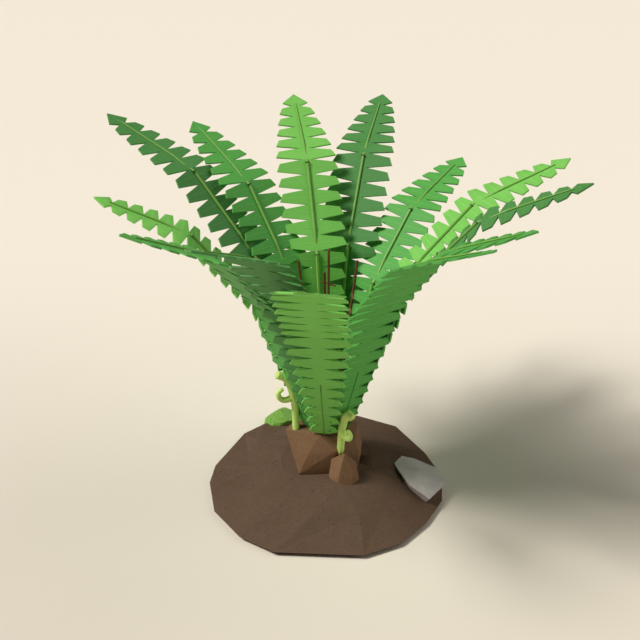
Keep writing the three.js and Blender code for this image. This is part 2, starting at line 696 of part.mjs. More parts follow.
// Soil with a bed for each thing that is sunk in it
let mound = toSolid(moundGeometry());
[CROWN, SIDE_CROWN, STONE, MOSS].forEach((corners) => {
  mound = mound.subtract(toSolid(lump(corners, 2 * GAP)));
});
addPiece('soil_mound', toGeometry(largestBody(mound)), MATERIALS.soil);

export default fern;
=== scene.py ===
"""Ostrich fern: the looks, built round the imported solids, in metres, +Z up, front towards -Y."""
import json
import math
import random

import bpy
from mathutils import Matrix, Vector, noise


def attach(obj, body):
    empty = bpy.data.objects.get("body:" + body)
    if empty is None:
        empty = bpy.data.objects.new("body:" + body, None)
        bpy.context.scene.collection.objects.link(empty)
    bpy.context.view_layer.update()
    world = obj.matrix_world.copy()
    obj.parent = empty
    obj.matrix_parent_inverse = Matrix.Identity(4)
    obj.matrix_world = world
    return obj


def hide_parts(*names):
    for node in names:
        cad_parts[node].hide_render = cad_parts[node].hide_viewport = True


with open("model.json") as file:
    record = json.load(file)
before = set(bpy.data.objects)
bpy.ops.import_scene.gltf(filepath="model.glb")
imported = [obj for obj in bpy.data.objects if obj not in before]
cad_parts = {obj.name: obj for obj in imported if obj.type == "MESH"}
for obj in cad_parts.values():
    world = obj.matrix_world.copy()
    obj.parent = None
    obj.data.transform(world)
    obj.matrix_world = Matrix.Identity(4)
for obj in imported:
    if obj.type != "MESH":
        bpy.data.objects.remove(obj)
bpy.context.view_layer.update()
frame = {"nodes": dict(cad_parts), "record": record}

MM = 0.001
FRONDS = [f"frond_{number:02d}" for number in range(1, 14)]
FERTILE_FRONDS = [f"fertile_frond_{number}" for number in range(1, 5)]
CROZIERS = ["crozier_left", "crozier_right"]
REFINE_ROUNDS = 6
SLOT_OF = {part["node"]: part["material_slot"] for part in frame["record"]["subparts"]}

# Camera of the photograph: its place and what it looks at, worked out from the mound's outline
CAMERA_PLACE = Vector((-0.0231, -2.5524, 1.8054))
CAMERA_TARGET = Vector((-0.0231, 0, 0.5831))
SENSOR_WIDTH = 36
LENS = 53.2

# Suns of the soft studio light: azimuth and height, strength, width of the disc and colour
KEY = ((190, 50), 3.35, 19, "#fffcf6")
BACK_FILL = ((27, 53), 0.3, 30, "#fffcf6")
SIDE_FILL = ((352, 20), 0.9, 60, "#fffcf6")
AMBIENT_STRENGTH = 0.02

# Blade of a frond: leaflets a side on its three flat stretches, and the tip leaflet's share
LEAFLET_PAIRS = (10, 6, 5)
TIP_LEAFLET_SHARE = 0.19
BLADE_THICKNESS = 5.2 * MM
BLADE_ROUNDING = 0.45 * MM
OUTER_CORNER_FROM = 18 * MM
LEAFLET_SPAN = (0.15, 0.9)

# Full reach of a leaflet, as it is where no neighbour holds it back: its low and high outer corners
FOOT_REACH, FULL_REACH = 44 * MM, 99 * MM
TIP_ROUNDING, TIP_REACH_LIMIT = 0.44, 0.97
LEAFLET_SLANT = 11 * MM
LOW_CORNER, HIGH_CORNER, CORNER_SPREAD = 0.27, 0.78, 0.1
NOTCH_REACH = 15.15 * MM

# Sides of a frond's lowest stretch whose leaflets stay behind the neighbour's: frond and side
HELD_BACK = {"frond_08": -1, "frond_11": 1, "frond_13": -1}

# Slot in a blade's foot, through which the rachis shows as a thin line
SLOT_REACH = 7 * MM
SLOT_LINE = 1.6 * MM

# Midrib of a leaflet: where it starts and ends, its width at the root and its height
MIDRIB_FROM = 0.44
MIDRIB_INNER_START, MIDRIB_OUTER_START = 3 * MM, 6 * MM
MIDRIB_REACH = 0.93
MIDRIB_WIDTH, MIDRIB_HEIGHT = 1.9 * MM, 0.5 * MM
TIP_MIDRIB = (0.82, 0.965)

# Rachis: it is rounded, ends in a small joint at each bend and rises again from the blade above it
RACHIS_ROUNDING = 0.9 * MM
RIB_STOPS_SHORT = 12 * MM
RIB_HIDDEN, RIB_FULL = 19 * MM, 75 * MM
RIB_SUNK = 0.4 * MM
JOINT_HALF_WIDTH, JOINT_HALF_HEIGHT, JOINT_THICKNESS = 7.4 * MM, 5.2 * MM, 3 * MM
JOINT_LIFT = 4 * MM


def linear(hex_colour):
    """A linear RGBA colour from an sRGB hex value."""
    def channel(value):
        return value / 12.92 if value <= 0.04045 else ((value + 0.055) / 1.055) ** 2.4
    return [channel(int(hex_colour[i:i + 2], 16) / 255) for i in (1, 3, 5)] + [1]


# Objects and selection

def everywhere(place):
    return True


def nowhere(place):
    return False


def select_only(*pieces):
    bpy.ops.object.select_all(action="DESELECT")
    for piece in pieces:
        piece.select_set(True)
    bpy.context.view_layer.objects.active = pieces[0]


def edit_points(piece, chosen):
    """Goes into edit mode with just the points selected whose place passes a test."""
    select_only(piece)
    bpy.ops.object.mode_set(mode="EDIT")
    bpy.ops.mesh.select_mode(type="VERT")
    bpy.ops.mesh.select_all(action="DESELECT")
    bpy.ops.object.mode_set(mode="OBJECT")
    for point in piece.data.vertices:
        point.select = chosen(point.co)
    bpy.ops.object.mode_set(mode="EDIT")


def leave_edit():
    bpy.ops.object.mode_set(mode="OBJECT")


def apply_modifier(piece, kind, **settings):
    modifier = piece.modifiers.new(kind.title(), kind)
    for setting, value in settings.items():
        setattr(modifier, setting, value)
    select_only(piece)
    bpy.ops.object.modifier_apply(modifier=modifier.name)


def merged_copy(node, name, material):
    """A copy of a CAD node as one closed mesh of flat many-sided faces, ready to be worked on."""
    piece = frame["nodes"][node].copy()
    piece.data = piece.data.copy()
    piece.parent = None
    piece.matrix_world = Matrix.Identity(4)
    piece.name = piece.data.name = name
    piece.data.materials.clear()
    piece.data.materials.append(material)
    bpy.context.collection.objects.link(piece)
    edit_points(piece, everywhere)
    bpy.ops.mesh.customdata_custom_splitnormals_clear()
    bpy.ops.mesh.remove_doubles(threshold=0.01 * MM)
    bpy.ops.mesh.dissolve_limited(angle_limit=math.radians(0.5))
    leave_edit()
    return piece


def stand_for(piece, node):
    """The finished piece takes the place of its CAD node."""
    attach(piece, "root")
    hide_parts(node)


def placed_copy(model, matrix):
    """A copy of a small model with a mesh of its own, put in place by a matrix."""
    piece = model.copy()
    piece.data = model.data.copy()
    piece.data.transform(matrix)
    bpy.context.collection.objects.link(piece)
    return piece


def laid_along(x_axis, y_axis, z_axis, place):
    """The matrix that lays a model along three axes, with its origin at a place."""
    axes = (x_axis, y_axis, z_axis, place)
    return Matrix([[axis[row] for axis in axes] for row in range(3)] + [[0, 0, 0, 1]])


def join(piece, additions):
    if additions:
        select_only(piece, *additions)
        bpy.ops.object.join()


def to_triangles(piece):
    edit_points(piece, everywhere)
    bpy.ops.mesh.quads_convert_to_tris(quad_method="BEAUTY", ngon_method="BEAUTY")
    leave_edit()


def refine(piece, longest):
    """Halves the edges longer than a length, a few times over, without moving the surface."""
    to_triangles(piece)
    mesh = piece.data
    for _ in range(REFINE_ROUNDS):
        points = mesh.vertices
        long_edges = [edge.index for edge in mesh.edges
                      if (points[edge.vertices[0]].co - points[edge.vertices[1]].co).length > longest]
        if not long_edges:
            return
        bpy.ops.object.mode_set(mode="EDIT")
        bpy.ops.mesh.select_mode(type="EDGE")
        bpy.ops.mesh.select_all(action="DESELECT")
        leave_edit()
        for index in long_edges:
            mesh.edges[index].select = True
        bpy.ops.object.mode_set(mode="EDIT")
        bpy.ops.mesh.subdivide(number_cuts=1)
        bpy.ops.mesh.select_all(action="SELECT")
        bpy.ops.mesh.quads_convert_to_tris(quad_method="BEAUTY", ngon_method="BEAUTY")
        leave_edit()


def roughen(piece, grain, height, stays):
    """Moves the points in and out by a few tenths of a millimetre, in lumps of one grain size."""
    normals = [point.normal.copy() for point in piece.data.vertices]
    for point, normal in zip(piece.data.vertices, normals):
        if not stays(point.co):
            lump = noise.fractal(point.co / grain, 0.6, 2.0, 3)
            point.co += normal * height * lump


def scatter(piece, model, count, seed, allowed, scale, lean):
    """Stands copies of a small model on random places of a piece, and joins them to it."""
    rng = random.Random(seed)
    mesh = piece.data
    faces = [face for face in mesh.polygons if allowed(face.center, face.normal)]
    copies = []
    for face in rng.choices(faces, weights=[face.area for face in faces], k=count):
        a, b, c = (mesh.vertices[index].co for index in face.vertices[:3])
        u, v = rng.random(), rng.random()
        if u + v > 1:
            u, v = 1 - u, 1 - v
        place = a + (b - a) * u + (c - a) * v
        up = face.normal + Vector([rng.uniform(-lean, lean) for _ in range(3)])
        turn = up.to_track_quat("Z", "Y").to_matrix().to_4x4()
        spin = Matrix.Rotation(rng.uniform(0, math.tau), 4, "Z")
        size = Matrix.Scale(rng.uniform(*scale), 4)
        copies.append(placed_copy(model, Matrix.Translation(place) @ turn @ spin @ size))
    join(piece, copies)


def smooth(piece, degrees):
    select_only(piece)
    bpy.ops.object.shade_smooth_by_angle(angle=math.radians(degrees))


# Materials

def add_node(tree, kind, inputs=(), **settings):
    """Adds one node, sets its settings and sets or links its inputs, given as (socket, value)."""
    node = tree.nodes.new(kind)
    for setting, value in settings.items():
        setattr(node, setting, value)
    for socket, value in inputs:
        if isinstance(value, bpy.types.NodeSocket):
            tree.links.new(value, node.inputs[socket])
        else:
            node.inputs[socket].default_value = value
    return node


def new_material(name, specular):
    """A material with its tree and its shader node."""
    material = bpy.data.materials.new(name)
    material.use_nodes = True
    shader = material.node_tree.nodes["Principled BSDF"]
    shader.inputs["Specular IOR Level"].default_value = specular
    return material, material.node_tree, shader


def shift_colour(tree, colour, share, other):
    """The colour moved towards another one by a share that a pattern gives."""
    return add_node(tree, "ShaderNodeMix", data_type="RGBA",
                    inputs=((0, share), (6, colour), (7, linear(other)))).outputs[2]


def remap(tree, value, low, high, new_low, new_high):
    """A value carried from one range to another, and held inside it."""
    return add_node(tree, "ShaderNodeMapRange",
                    inputs=((0, value), (1, low), (2, high), (3, new_low), (4, new_high))).outputs[0]


def reckon(tree, operation, first, second=0.0):
    return add_node(tree, "ShaderNodeMath", operation=operation,
                    inputs=((0, first), (1, second))).outputs[0]


def object_noise(tree, scale, stretch=(1, 1, 1), detail=2.0):
    """Noise in the object's own metres: scale is lumps a metre, stretch makes it long one way."""
    place = add_node(tree, "ShaderNodeTexCoord").outputs["Object"]
    stretched = add_node(tree, "ShaderNodeMapping",
                         inputs=(("Vector", place), ("Scale", stretch))).outputs[0]
    return add_node(tree, "ShaderNodeTexNoise",
                    inputs=(("Vector", stretched), ("Scale", scale), ("Detail", detail))).outputs[0]


def finish_shader(tree, shader, colour, roughness, relief, depth):
    tree.links.new(colour, shader.inputs["Base Color"])
    tree.links.new(roughness, shader.inputs["Roughness"])
    bump = add_node(tree, "ShaderNodeBump", inputs=(("Height", relief), ("Distance", depth),
                                                    ("Strength", 1.0)))
    tree.links.new(bump.outputs[0], shader.inputs["Normal"])


# Lamina of a leaflet: thin fern leaf with a faint wax, a little light passes through it. To the eye
# it is one calm green with slightly paler side veins every 3.6 mm and a soft mottle from frond to frond
VEINS_ACROSS = 27.5
VEINS_FORWARD = 6.0
MIDRIB_RISE = 0.09
LET_THROUGH = 0.06


def leaf_tissue(name, green, pale, deep):
    material, tree, shader = new_material(name, 0.24)
    place = add_node(tree, "ShaderNodeUVMap", uv_map="leaf").outputs[0]
    split = add_node(tree, "ShaderNodeSeparateXYZ", inputs=((0, place),))
    out = reckon(tree, "ABSOLUTE", split.outputs[0])
    along = reckon(tree, "FRACT", split.outputs[1])
    middle = reckon(tree, "MULTIPLY_ADD", out, MIDRIB_RISE)
    middle.node.inputs[2].default_value = MIDRIB_FROM
    aside = reckon(tree, "ABSOLUTE", reckon(tree, "SUBTRACT", along, middle))
    forward = reckon(tree, "MULTIPLY", aside, VEINS_FORWARD)
    ways = reckon(tree, "SUBTRACT", reckon(tree, "MULTIPLY", out, VEINS_ACROSS), forward)
    wander = reckon(tree, "MULTIPLY", object_noise(tree, 70), 1.1)
    line = reckon(tree, "PINGPONG", reckon(tree, "ADD", ways, wander), 0.5)
    vein = remap(tree, line, 0.0, 0.16, 1.0, 0.0)
    beside_rib = remap(tree, aside, 0.0, 0.1, 1.0, 0.0)
    mottle = object_noise(tree, 9, detail=3)
    fine = object_noise(tree, 260)
    colour = shift_colour(tree, linear(green), remap(tree, mottle, 0.4, 0.7, 0.0, 0.35), pale)
    colour = shift_colour(tree, colour, remap(tree, fine, 0.35, 0.75, 0.0, 0.2), deep)
    colour = shift_colour(tree, colour, reckon(tree, "MULTIPLY", vein, 0.3), pale)
    colour = shift_colour(tree, colour, reckon(tree, "MULTIPLY", beside_rib, 0.25), pale)
    relief = reckon(tree, "ADD", vein, reckon(tree, "MULTIPLY", fine, 0.5))
    finish_shader(tree, shader, colour, remap(tree, mottle, 0.3, 0.7, 0.52, 0.64), relief, 0.12 * MM)
    through = add_node(tree, "ShaderNodeBsdfTranslucent", inputs=(("Color", colour),))
    both = add_node(tree, "ShaderNodeMixShader", inputs=((0, LET_THROUGH), (1, shader.outputs[0]),
                                                         (2, through.outputs[0])))
    tree.links.new(both.outputs[0], tree.nodes["Material Output"].inputs["Surface"])
    return material


# Midrib of a leaflet: a little paler and glossier than the lamina beside it
def leaf_rib(name, pale, green):
    material, tree, shader = new_material(name, 0.4)
    streak = object_noise(tree, 320)
    colour = shift_colour(tree, linear(pale), remap(tree, streak, 0.35, 0.7, 0.0, 0.5), green)
    finish_shader(tree, shader, colour, remap(tree, streak, 0.3, 0.7, 0.45, 0.55), streak, 0.05 * MM)
    return material


# Rachis: smooth yellow-green stalk with fine grooves along it, 1 mm apart, with painted shade in the
# bottom of each groove, and brown at its foot.
# The brown fades between two heights, with a ragged edge that lies a few centimetres lower
GROOVES_ACROSS = 95
BROWN_UP_TO, BROWN_GONE_BY = 0.30, 0.42


def rachis_skin(name, green, deep, brown):
    material, tree, shader = new_material(name, 0.4)
    place = add_node(tree, "ShaderNodeUVMap", uv_map="leaf").outputs[0]
    split = add_node(tree, "ShaderNodeSeparateXYZ", inputs=((0, place),))
    wander = reckon(tree, "MULTIPLY", object_noise(tree, 40), 2.0)
    grooves = reckon(tree, "ADD", reckon(tree, "MULTIPLY", split.outputs[0], GROOVES_ACROSS), wander)
    groove = reckon(tree, "PINGPONG", grooves, 0.5)
    place = add_node(tree, "ShaderNodeTexCoord").outputs["Object"]
    height = add_node(tree, "ShaderNodeSeparateXYZ", inputs=((0, place),)).outputs[2]
    patches = reckon(tree, "MULTIPLY_ADD", object_noise(tree, 60), 0.08)
    tree.links.new(height, patches.node.inputs[2])
    foot = remap(tree, patches, BROWN_UP_TO, BROWN_GONE_BY, 0.7, 0.0)
    # Painted shade: the colour turns deeper green at the bottom of each groove, where the bump lies low
    colour = shift_colour(tree, linear(green), remap(tree, groove, 0.0, 0.5, 0.35, 0.0), deep)
    colour = shift_colour(tree, colour, foot, brown)
    finish_shader(tree, shader, colour, remap(tree, groove, 0, 0.5, 0.6, 0.45), groove, 0.15 * MM)
    return material


# Skin of a crozier or a fertile stalk: plant skin with faint streaks that run up it, which on a
# young crozier is so tender that light spreads in it
SKIN_DEPTH = 3 * MM


def stalk_skin(name, colour_hex, other, specular, roughness, streaks, depth, soft=0.0):
    material, tree, shader = new_material(name, specular)
    shader.inputs["Subsurface Weight"].default_value = soft
    shader.inputs["Subsurface Scale"].default_value = SKIN_DEPTH
    streak = object_noise(tree, streaks, (1, 1, 0.12), 3)
    blotch = object_noise(tree, 45)
    colour = shift_colour(tree, linear(colour_hex), remap(tree, streak, 0.38, 0.68, 0, 0.6), other)
    colour = shift_colour(tree, colour, remap(tree, blotch, 0.45, 0.75, 0, 0.35), other)
    low, high = roughness
    finish_shader(tree, shader, colour, remap(tree, blotch, 0.3, 0.7, low, high), streak, depth)
    return material


# Crown: fibrous brown rootstock, dry and dull, with threads that run up and down it and dark pores
def crown_bark(name, brown, pale, dark):
    material, tree, shader = new_material(name, 0.2)
    fibre = object_noise(tree, 230, (1, 1, 0.1), 4)
    blotch = object_noise(tree, 28, detail=3)
    colour = shift_colour(tree, linear(brown), remap(tree, blotch, 0.4, 0.7, 0, 0.35), pale)
    colour = shift_colour(tree, colour, remap(tree, fibre, 0.5, 0.72, 0, 0.35), dark)
    colour = shift_colour(tree, colour, remap(tree, fibre, 0.45, 0.25, 0, 0.3), pale)
    finish_shader(tree, shader, colour, remap(tree, fibre, 0.3, 0.7, 0.95, 0.8), fibre, 0.25 * MM)
    return material


# Soil: moist humus, quite dull, with crumbs of 2 to 6 mm, painted shade in the hollows between them and
# a few pale specks of grit and root
def soil_crumb(name, brown, dark, pale):
    material, tree, shader = new_material(name, 0.15)
    place = add_node(tree, "ShaderNodeTexCoord").outputs["Object"]
    crumbs = add_node(tree, "ShaderNodeTexVoronoi", inputs=(("Vector", place), ("Scale", 240)))
    grit = add_node(tree, "ShaderNodeTexVoronoi", inputs=(("Vector", place), ("Scale", 420)))
    damp = object_noise(tree, 14, detail=4)
    # Painted shade: darker towards the dark brown in the hollows between the crumbs, where the bump
    # lies low
    painted_hollow_shade = remap(tree, crumbs.outputs["Distance"], 0.25, 0.75, 0, 0.25)
    colour = shift_colour(tree, linear(brown), remap(tree, damp, 0.4, 0.7, 0, 0.35), dark)
    colour = shift_colour(tree, colour, painted_hollow_shade, dark)
    tone = reckon(tree, "MULTIPLY", remap(tree, crumbs.outputs["Color"], 0.6, 1.0, 0, 1), 0.18)
    colour = shift_colour(tree, colour, tone, pale)
    speck = remap(tree, grit.outputs["Color"], 0.93, 0.97, 0, 0.3)
    colour = shift_colour(tree, colour, speck, pale)
    relief = reckon(tree, "SUBTRACT", 1.0, crumbs.outputs["Distance"])
    finish_shader(tree, shader, colour, remap(tree, damp, 0.3, 0.7, 0.95, 0.82), relief, 0.2 * MM)
    return material


# Stone: a water-worn grey-green fieldstone, matt, with mineral grains of 1 to 3 mm and pale blooms
def fieldstone(name, grey, dark, pale):
    material, tree, shader = new_material(name, 0.35)
    place = add_node(tree, "ShaderNodeTexCoord").outputs["Object"]
    grains = add_node(tree, "ShaderNodeTexVoronoi", inputs=(("Vector", place), ("Scale", 480)))
    bloom = object_noise(tree, 22, detail=5)
    pits = object_noise(tree, 150, detail=3)
    colour = shift_colour(tree, linear(grey), remap(tree, bloom, 0.45, 0.7, 0, 0.35), pale)
    colour = shift_colour(tree, colour, remap(tree, grains.outputs["Color"], 0.72, 0.95, 0, 0.4), dark)
    colour = shift_colour(tree, colour, remap(tree, pits, 0.58, 0.7, 0, 0.3), dark)
    finish_shader(tree, shader, colour, remap(tree, bloom, 0.3, 0.7, 0.7, 0.85), pits, 0.25 * MM)
    return material


# Moss: velvety bright green cushion, no gloss, with painted shade, a deeper green, between its shoots 2
# mm apart
def moss_velvet(name, green, deep, pale):
    material, tree, shader = new_material(name, 0.1)
    shader.inputs["Sheen Weight"].default_value = 0.15
    place = add_node(tree, "ShaderNodeTexCoord").outputs["Object"]
    shoots = add_node(tree, "ShaderNodeTexVoronoi", inputs=(("Vector", place), ("Scale", 330)))
    drift = object_noise(tree, 30, detail=3)
    # Painted shade: a deeper green between the shoots, where the bump lies low
    painted_gap_shade = remap(tree, shoots.outputs["Distance"], 0.3, 0.8, 0, 0.5)
    colour = shift_colour(tree, linear(green), remap(tree, drift, 0.4, 0.7, 0, 0.4), pale)
    colour = shift_colour(tree, colour, painted_gap_shade, deep)
    relief = reckon(tree, "SUBTRACT", 1.0, shoots.outputs["Distance"])
    finish_shader(tree, shader, colour, remap(tree, drift, 0.3, 0.7, 0.9, 1.0), relief, 0.6 * MM)
    return material


LEAF_TISSUE = {
    "leaf_light": leaf_tissue("leaf_light", "#81ce5f", "#92dc70", "#71bd52"),
    "leaf_mid": leaf_tissue("leaf_mid", "#5bae4f", "#6cbb5c", "#4c9c42"),
    "leaf_dark": leaf_tissue("leaf_dark", "#53944d", "#65a15b", "#468242"),
}
LEAF_RIB = {
    "leaf_light": leaf_rib("leaf_light_rib", "#97dd6b", "#7dcb57"),
    "leaf_mid": leaf_rib("leaf_mid_rib", "#78c45f", "#5dae4d"),
    "leaf_dark": leaf_rib("leaf_dark_rib", "#67a65e", "#4c914a"),
}
RACHIS_SKIN = rachis_skin("rachis_skin", "#87ba57", "#71a246", "#706a3a")
# The rachis joint's dark olive is painted shade: the shade that lies on the cap at each bend of the
# rachis
RACHIS_JOINT_PAINTED_SHADE = stalk_skin("rachis_joint_painted_shade", "#4a5e26", "#3c4c1e", 0.3, (0.55, 0.7), 300, 0.1 * MM)
CROZIER_SKIN = stalk_skin("crozier_skin", "#d3f386", "#bddf6e", 0.4, (0.42, 0.55), 200, 0.12 * MM,
                          0.35)
CROZIER_DOWN = stalk_skin("crozier_down", "#d5dfae", "#bccb8a", 0.3, (0.6, 0.7), 300, 0.02 * MM)
FERTILE_SKIN = stalk_skin("fertile_skin", "#7e5338", "#613d2a", 0.3, (0.6, 0.75), 330, 0.2 * MM)
CROWN_BARK = crown_bark("crown_bark", "#7e6046", "#8d7052", "#5c442d")
SOIL = soil_crumb("soil_crumb", "#624e40", "#523f2f", "#7b6757")
STONE = fieldstone("fieldstone", "#c1bab7", "#9e9995", "#d9d1ce")
MOSS = moss_velvet("moss_velvet", "#80ae4f", "#64933c", "#94bf61")
MOSS_SHOOT = moss_velvet("moss_shoot", "#8ebe5b", "#73a648", "#a5cf71")


# Frames of the flat stretches of a frond

def stretch_frames(blade):
    """Each flat stretch of a blade from low to high, as a frame on its inner face."""
    mesh = blade.data
    tip = max((point.co for point in mesh.vertices), key=lambda place: place.xy.length)
    outward = Vector((tip.x, tip.y, 0)).normalized()
    across = Vector((-outward.y, outward.x, 0))
    inner = sorted((face for face in mesh.polygons if face.normal.z > 0), key=lambda face: -face.area)
    frames = []
    for face in sorted(inner[:3], key=lambda face: face.center.z):
        inward = face.normal.copy()
        along = outward * inward.z - Vector((0, 0, inward.dot(outward)))
        places = [mesh.vertices[index].co.copy() for index in face.vertices]
        start = min(place.dot(along) for place in places)
        end = max(place.dot(along) for place in places)
        base = outward * places[0].dot(outward) + Vector((0, 0, places[0].z))
        origin = base + along * (start - base.dot(along))
        frames.append({"origin": origin, "along": along, "across": across, "inward": inward,
                       "length": end - start, "places": places, "points": list(face.vertices)})
    first_leaflet = 0
    for number, (stretch, pairs) in enumerate(zip(frames, LEAFLET_PAIRS)):
        leafy = stretch["length"] * (1 - TIP_LEAFLET_SHARE if number == 2 else 1)
        stretch["step"] = leafy / pairs
        stretch["pairs"] = pairs
        stretch["first"] = first_leaflet
        first_leaflet += pairs
    return frames


def frame_of(place, frames):
    """The highest stretch that a place reaches into."""
    for stretch in reversed(frames[1:]):
        if (place - stretch["origin"]).dot(stretch["along"]) > -0.5 * MM:
            return stretch
    return frames[0]


def map_leaf(piece, frames, aslant=0):
    """UV map "leaf": across in tenths of a metre, and up in leaflets counted from the foot."""
    mesh = piece.data
    layer = mesh.uv_layers.new(name="leaf")
    for face in mesh.polygons:
        stretch = frame_of(face.center, frames)
        for loop in face.loop_indices:
            place = mesh.vertices[mesh.loops[loop].vertex_index].co - stretch["origin"]
            out = place.dot(stretch["across"]) + aslant * place.dot(stretch["inward"])
            up = stretch["first"] + place.dot(stretch["along"]) / stretch["step"]
            layer.data[loop].uv = (out * 10, up)


# Fronds

def model_midrib():
    """One midrib: a ridge one long, one wide and one high, wide at its root, half sunk in the leaf."""
    bpy.ops.mesh.primitive_cube_add(size=1, location=(0.5, 0, 0))
    rib = bpy.context.object
    bpy.ops.object.transform_apply(location=True)
    edit_points(rib, lambda place: place.z > 0)
    bpy.ops.transform.translate(value=(0, 0, 0.5))
    bpy.ops.transform.resize(value=(1, 0.3, 1), center_override=(0, 0, 0))
    leave_edit()
    edit_points(rib, lambda place: place.x > 0.5)
    bpy.ops.transform.resize(value=(1, 0.35, 0.5), center_override=(1, 0, 0))
    leave_edit()
    return rib


def model_joint():
    """The small joint at a bend of the rachis: a flat disc with a rounded rim, one in radius."""
    bpy.ops.mesh.primitive_cylinder_add(vertices=12, radius=1, depth=1)
    joint = bpy.context.object
    apply_modifier(joint, "BEVEL", width=0.28, segments=2, angle_limit=math.radians(50))
    smooth(joint, 40)
    return joint


def outer_corners(stretch, number, side):
    """The two outer corners of a leaflet, or none where it is cut back to a stub."""
    corners = []
    for place in stretch["places"]:
        local = place - stretch["origin"]
        share = local.dot(stretch["along"]) / stretch["step"] - number
        if side * local.dot(stretch["across"]) > OUTER_CORNER_FROM and \
                LEAFLET_SPAN[0] < share < LEAFLET_SPAN[1]:
            corners.append(place)
    return corners if len(corners) == 2 else None


def full_reach(stretch, frames, number):
    """How far the leaflet of this number reaches on a stretch, at its low outer corner."""
    share = (number + LOW_CORNER) * stretch["step"] / stretch["length"]
    if stretch is frames[0]:
        return FOOT_REACH + (FULL_REACH - FOOT_REACH) * share
    if stretch is frames[1]:
        return FULL_REACH
    return FULL_REACH * min(TIP_REACH_LIMIT, (1 - share) ** TIP_ROUNDING)


def close_slot(blade, frames):
    """Draws the sides of the slot together, so that the rachis shows in it as a thin line."""
    across, origin = frames[0]["across"], frames[0]["origin"]
    for point in blade.data.vertices:
        out = (point.co - origin).dot(across)
        if SLOT_LINE < abs(out) < SLOT_REACH and frame_of(point.co, frames) is frames[0]:
            point.co -= across * math.copysign(abs(out) - SLOT_LINE, out)


def lengthen_leaflets(blade, frames, held_back):
    """Gives the leaflets that the solids hold back from a neighbour their full reach again, so that
    they cross it loosely as on the plant."""
    for point in blade.data.vertices:
        stretch = frame_of(point.co, frames)
        local = point.co - stretch["origin"]
        out = local.dot(stretch["across"])
        steps = local.dot(stretch["along"]) / stretch["step"]
        number = math.floor(steps)
        if abs(out) < NOTCH_REACH or not 0 <= number < stretch["pairs"]:
            continue
        if stretch is frames[0] and out * held_back > 0:
            continue
        reach = full_reach(stretch, frames, number)
        if abs(steps - number - HIGH_CORNER) < CORNER_SPREAD:
            reach -= LEAFLET_SLANT
        elif abs(steps - number - LOW_CORNER) > CORNER_SPREAD:
            continue
        if reach > abs(out):
            point.co += stretch["across"] * math.copysign(reach - abs(out), out)
    for stretch in frames:
        stretch["places"] = [blade.data.vertices[index].co.copy() for index in stretch["points"]]


def midrib_matrix(start, end, up):
    """Lays the midrib model from start to end, with its ridge up."""
    way = end - start
    sideways = up.cross(way).normalized()
    return laid_along(way, sideways * MIDRIB_WIDTH, up * MIDRIB_HEIGHT, start)


def add_midribs(blade, frames, model):
    ribs = []
    for stretch in frames:
        origin, along = stretch["origin"], stretch["along"]
        across, inward = stretch["across"], stretch["inward"]
        sink = inward * -BLADE_THICKNESS
        lines = []
        for number in range(stretch["pairs"]):
            for side in (1, -1):
                corners = outer_corners(stretch, number, side)
                if corners:
                    outer = (corners[0] + corners[1]) / 2
                    root = origin + along * (number + MIDRIB_FROM) * stretch["step"]
                    lines.append((root, outer, across * side))
        for root, outer, out in lines:
            end = root + (outer - root) * MIDRIB_REACH
            ribs.append((root + out * MIDRIB_INNER_START, end, inward))
            ribs.append((root + out * MIDRIB_OUTER_START + sink, end + sink, -inward))
        if stretch is frames[2]:
            start, end = (origin + along * stretch["length"] * share for share in TIP_MIDRIB)
            ribs.append((start, end, inward))
            ribs.append((start + sink, end + sink, -inward))
    join(blade, [placed_copy(model, midrib_matrix(start, end, up)) for start, end, up in ribs])


def make_blade(frond, frames, blade, midrib):
    node = f"{frond}_blade"
    map_leaf(blade, frames)
    apply_modifier(blade, "BEVEL", width=BLADE_ROUNDING, segments=2, angle_limit=math.radians(40))
    midrib.data.materials.clear()
    midrib.data.materials.append(LEAF_RIB[SLOT_OF[node]])
    add_midribs(blade, frames, midrib)
    stand_for(blade, node)


def cut_across(piece, place, normal):
    """Adds a ring of points where a plane crosses a piece."""
    edit_points(piece, everywhere)
    bpy.ops.mesh.bisect(plane_co=place, plane_no=normal)
    leave_edit()


def make_rachis(frond, frames, joint):
    node = f"{frond}_rachis"
    rib = merged_copy(node, f"{frond}_rib", RACHIS_SKIN)
    joints = []
    for below, stretch in zip(frames, frames[1:]):
        origin, along, inward = stretch["origin"], stretch["along"], stretch["inward"]
        cut_across(rib, origin - below["along"] * RIB_STOPS_SHORT, below["along"])
        for distance in (RIB_HIDDEN, RIB_FULL):
            cut_across(rib, origin + along * distance, along)
        for point in rib.data.vertices:
            place = point.co - origin
            before, after = place.dot(below["along"]), place.dot(along)
            if before > -0.5 * RIB_STOPS_SHORT and after < RIB_HIDDEN + MM:
                face = inward if after > MM else below["inward"]
                point.co -= face * (place.dot(face) + RIB_SUNK)
        place = origin - below["along"] * RIB_STOPS_SHORT + below["inward"] * JOINT_LIFT
        matrix = laid_along(stretch["across"] * JOINT_HALF_WIDTH, below["inward"] * JOINT_HALF_HEIGHT,
                            below["along"] * JOINT_THICKNESS, place)
        joints.append(placed_copy(joint, matrix))
    apply_modifier(rib, "BEVEL", width=RACHIS_ROUNDING, segments=3, angle_limit=math.radians(20))
    map_leaf(rib, frames, 0.7)
    join(rib, joints)
    stand_for(rib, node)


